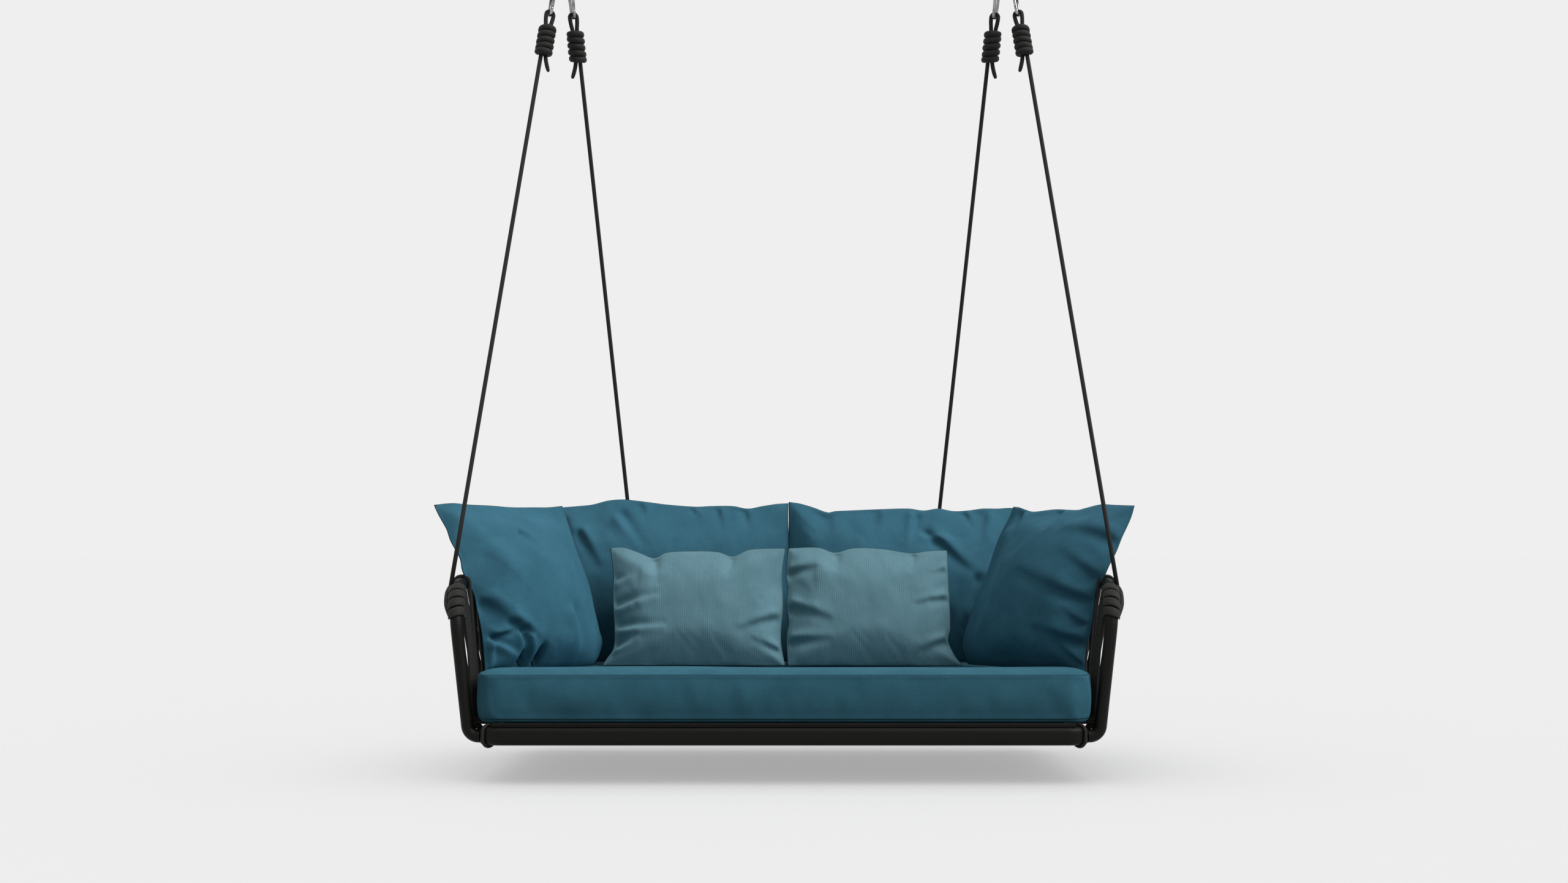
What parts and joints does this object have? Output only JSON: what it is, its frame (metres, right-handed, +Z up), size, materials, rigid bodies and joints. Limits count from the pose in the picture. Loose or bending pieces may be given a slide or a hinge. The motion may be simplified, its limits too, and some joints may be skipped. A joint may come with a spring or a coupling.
{
  "type": "hanging sofa",
  "caption": "Sofa hung by ropes from ceiling brackets: a bent tube frame laced with rope net, slatted seat and loose cushions, free to swing forwards and back.",
  "frame": {"origin": "middle of the four ceiling bolts, on the ceiling plane that the brackets are screwed to", "axes": "+Z up, +X to the sitter's left as seen from the front (the viewer's right), +Y to the back of the sofa"},
  "size_m": [1.972, 0.9056, 2.1984],
  "materials": {
    "fixing_steel": "satin zinc",
    "polished_steel": "polished",
    "frame_paint": "matt black powder coat",
    "hanging_rope": "black twisted rope",
    "wrapping_rope": "charcoal flat woven rope",
    "net_cord": "charcoal cord",
    "cushion_fabric": "teal plain weave",
    "lumbar_fabric": "pale grey blue fine rib",
    "slat_wood": "plain"
  },
  "bodies": {
    "ceiling": {"ceiling_bracket_left": "fixing_steel", "ceiling_bracket_right": "fixing_steel", "pivot_bolt_left": "fixing_steel", "pivot_bolt_right": "fixing_steel", "pivot_nuts": "fixing_steel"},
    "sofa": {"arm_net_left": "net_cord", "arm_net_right": "net_cord", "arm_rope_turns_left": "wrapping_rope", "arm_rope_turns_right": "wrapping_rope", "arm_tube_left": "frame_paint", "arm_tube_right": "frame_paint", "back_cushion_left": "cushion_fabric", "back_cushion_right": "cushion_fabric", "back_net": "net_cord", "back_post_left": "frame_paint", "back_post_right": "frame_paint", "back_rope_turns_left": "wrapping_rope", "back_rope_turns_right": "wrapping_rope", "back_tube": "frame_paint", "carabiner_front_left": "polished_steel", "carabiner_front_right": "polished_steel", "carabiner_rear_left": "polished_steel", "carabiner_rear_right": "polished_steel", "corner_cushion_left": "cushion_fabric", "corner_cushion_right": "cushion_fabric", "gate_rivets": "polished_steel", "knot_front_left": "hanging_rope", "knot_front_right": "hanging_rope", "knot_rear_left": "hanging_rope", "knot_rear_right": "hanging_rope", "lacing_rod_back": "frame_paint", "lacing_rod_left": "frame_paint", "lacing_rod_right": "frame_paint", "lumbar_cushion_left": "lumbar_fabric", "lumbar_cushion_right": "lumbar_fabric", "rod_gussets": "frame_paint", "rope_front_left": "hanging_rope", "rope_front_right": "hanging_rope", "rope_rear_left": "hanging_rope", "rope_rear_right": "hanging_rope", "seat_back_rail": "frame_paint", "seat_corner_band_left": "hanging_rope", "seat_corner_band_right": "hanging_rope", "seat_cross_bar_1": "frame_paint", "seat_cross_bar_2": "frame_paint", "seat_cross_bar_3": "frame_paint", "seat_cushion": "cushion_fabric", "seat_front_rail": "frame_paint", "seat_side_rail_left": "frame_paint", "seat_side_rail_right": "frame_paint", "seat_slats": "slat_wood", "tube_spigots": "frame_paint"},
    "gate_front_left": {"carabiner_gate_front_left": "polished_steel"},
    "gate_front_right": {"carabiner_gate_front_right": "polished_steel"},
    "gate_rear_left": {"carabiner_gate_rear_left": "polished_steel"},
    "gate_rear_right": {"carabiner_gate_rear_right": "polished_steel"}
  },
  "joints": [
    {"name": "swing", "type": "hinge", "parent": "ceiling", "child": "sofa", "pos_m": [0, 0, -0.042], "axis": [1, 0, 0], "range_deg": [-20, 20]},
    {"name": "gate_front_left", "type": "hinge", "parent": "sofa", "child": "gate_front_left", "pos_m": [-0.67688, -0.02061, -0.09238], "axis": [-0.8957, -0.3988, 0.1966], "range_deg": [0, 22], "stiffness_Nm_per_rad": 0.05, "springref_deg": -17.19},
    {"name": "gate_front_right", "type": "hinge", "parent": "sofa", "child": "gate_front_right", "pos_m": [0.67688, -0.02061, -0.09238], "axis": [-0.8957, 0.3988, -0.1966], "range_deg": [0, 22], "stiffness_Nm_per_rad": 0.05, "springref_deg": -17.19},
    {"name": "gate_rear_left", "type": "hinge", "parent": "sofa", "child": "gate_rear_left", "pos_m": [-0.61535, 0.00147, -0.09559], "axis": [-0.8998, -0.4006, -0.1729], "range_deg": [0, 22], "stiffness_Nm_per_rad": 0.05, "springref_deg": -17.19},
    {"name": "gate_rear_right", "type": "hinge", "parent": "sofa", "child": "gate_rear_right", "pos_m": [0.61535, 0.00147, -0.09559], "axis": [-0.8998, 0.4006, 0.1729], "range_deg": [0, 22], "stiffness_Nm_per_rad": 0.05, "springref_deg": -17.19}
  ]
}
